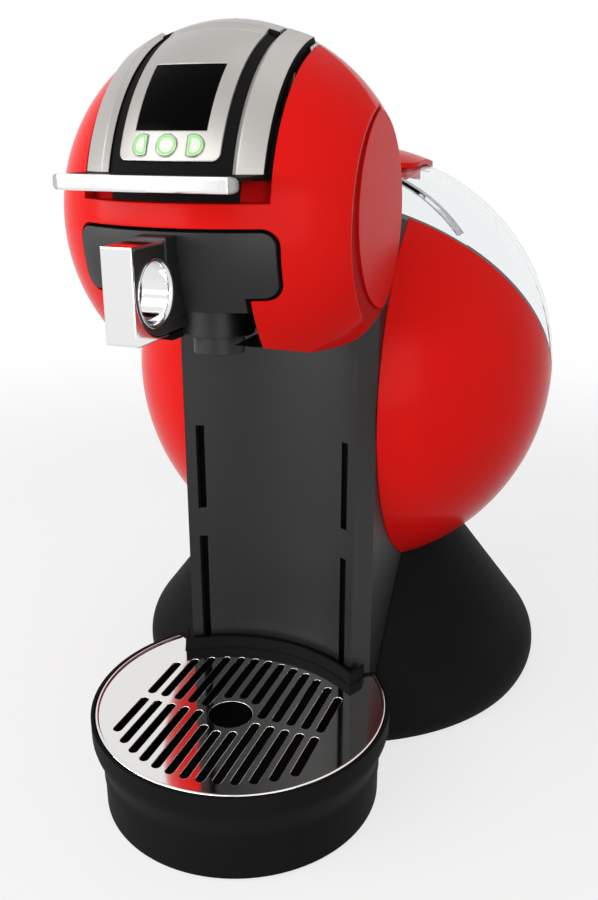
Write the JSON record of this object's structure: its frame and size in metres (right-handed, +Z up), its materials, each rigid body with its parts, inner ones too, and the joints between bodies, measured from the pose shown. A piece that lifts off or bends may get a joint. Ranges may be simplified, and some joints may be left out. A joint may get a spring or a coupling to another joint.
{
  "type": "pod coffee machine",
  "caption": "Pod coffee machine with a ball-shaped head over a round drip tray, a black column, and a ball body with a clear lift-off tank.",
  "frame": {"origin": "on the worktop, under the middle of the whole machine", "axes": "+Z up, -Y towards the user, +X to the user's right"},
  "size_m": [0.2292, 0.3496, 0.3335],
  "materials": {
    "red_gloss": "polished red housing",
    "black_satin": "fine satin black",
    "silver_satin": "satin silver paint",
    "chrome": "polished chrome",
    "polished_steel": "polished",
    "clear_plastic": "clear polished",
    "display_glass": "black glossy",
    "rubber": "matt",
    "silicone": "translucent matt",
    "board_green": "solder mask",
    "aluminium": "cast",
    "steel": "plain",
    "grey_plastic": "moulded"
  },
  "bodies": {
    "machine": {"base_plate": "black_satin", "base_skirt": "black_satin", "rubber_feet": "rubber", "base_screws": "steel", "cord_gland": "rubber", "column_housing": "black_satin", "rail_backs": "black_satin", "side_shell_left": "red_gloss", "side_shell_right": "red_gloss", "tank_deck": "grey_plastic", "outlet_socket": "grey_plastic", "socket_seal": "silicone", "head_shell": "red_gloss", "head_underside": "black_satin", "head_frame": "black_satin", "control_panel": "silver_satin", "panel_bezel": "black_satin", "display_lens": "display_glass", "display_module": "grey_plastic", "control_board": "board_green", "rear_strip": "silver_satin", "pivot_pin": "steel", "holder_guide": "black_satin", "injector_guide": "grey_plastic", "pump": "steel", "pump_mounts": "rubber", "heater_bracket": "steel", "heater": "aluminium", "thermostat": "steel", "flow_meter": "grey_plastic", "main_board": "board_green", "suction_hose": "silicone", "pressure_hose": "silicone", "brew_hose": "silicone"},
    "handle": {"handle_arms": "silver_satin", "handle_bar": "chrome"},
    "injector": {"injector_block": "grey_plastic", "injector_seal": "silicone", "injector_needle": "steel"},
    "holder": {"holder_body": "black_satin", "holder_nozzle": "black_satin", "grip_plate": "chrome", "holder_grip": "black_satin", "finger_ring": "chrome"},
    "left_button": {"button_left": "silver_satin"},
    "ok_button": {"button_ok": "silver_satin"},
    "right_button": {"button_right": "silver_satin"},
    "carrier": {"tray_carrier": "black_satin"},
    "bowl": {"tray_bowl": "black_satin"},
    "grid": {"drip_grid": "polished_steel"},
    "tank": {"tank_body": "clear_plastic", "tank_valve": "grey_plastic", "valve_poppet": "grey_plastic", "valve_seal": "silicone"},
    "lid": {"tank_lid": "red_gloss"}
  },
  "joints": [
    {"name": "handle_lift", "type": "hinge", "parent": "machine", "child": "handle", "pos_m": [0, -0.10332, 0.3115], "axis": [-1, 0, 0], "range_deg": [0, 55]},
    {"name": "injector_slide", "type": "slide", "parent": "machine", "child": "injector", "axis": [0, 0, 1], "range_m": [0, 0.01]},
    {"name": "holder_slide", "type": "slide", "parent": "machine", "child": "holder", "axis": [0, -1, 0], "range_m": [0, 0.085]},
    {"name": "left_press", "type": "slide", "parent": "machine", "child": "left_button", "axis": [0.1333, 0.911, -0.3903], "range_m": [0, 0.0007], "stiffness_N_per_m": 1500},
    {"name": "ok_press", "type": "slide", "parent": "machine", "child": "ok_button", "axis": [0, 0.9207, -0.3903], "range_m": [0, 0.0007], "stiffness_N_per_m": 1500},
    {"name": "right_press", "type": "slide", "parent": "machine", "child": "right_button", "axis": [-0.1333, 0.911, -0.3903], "range_m": [0, 0.0007], "stiffness_N_per_m": 1500},
    {"name": "tray_height", "type": "slide", "parent": "machine", "child": "carrier", "axis": [0, 0, 1], "range_m": [0, 0.09]},
    {"name": "bowl_lift", "type": "slide", "parent": "carrier", "child": "bowl", "axis": [0, 0, 1], "range_m": [0, 0.04]},
    {"name": "grid_lift", "type": "slide", "parent": "bowl", "child": "grid", "axis": [0, 0, 1], "range_m": [0, 0.03]},
    {"name": "tank_lift", "type": "slide", "parent": "machine", "child": "tank", "axis": [0, 0.7965, 0.6046], "range_m": [0, 0.12]},
    {"name": "lid_lift", "type": "slide", "parent": "tank", "child": "lid", "axis": [0, 0, 1], "range_m": [0, 0.05]}
  ],
  "couplings": [
    {"joint": "injector_slide", "follows": "handle_lift", "m_per_rad": 0.010407}
  ]
}
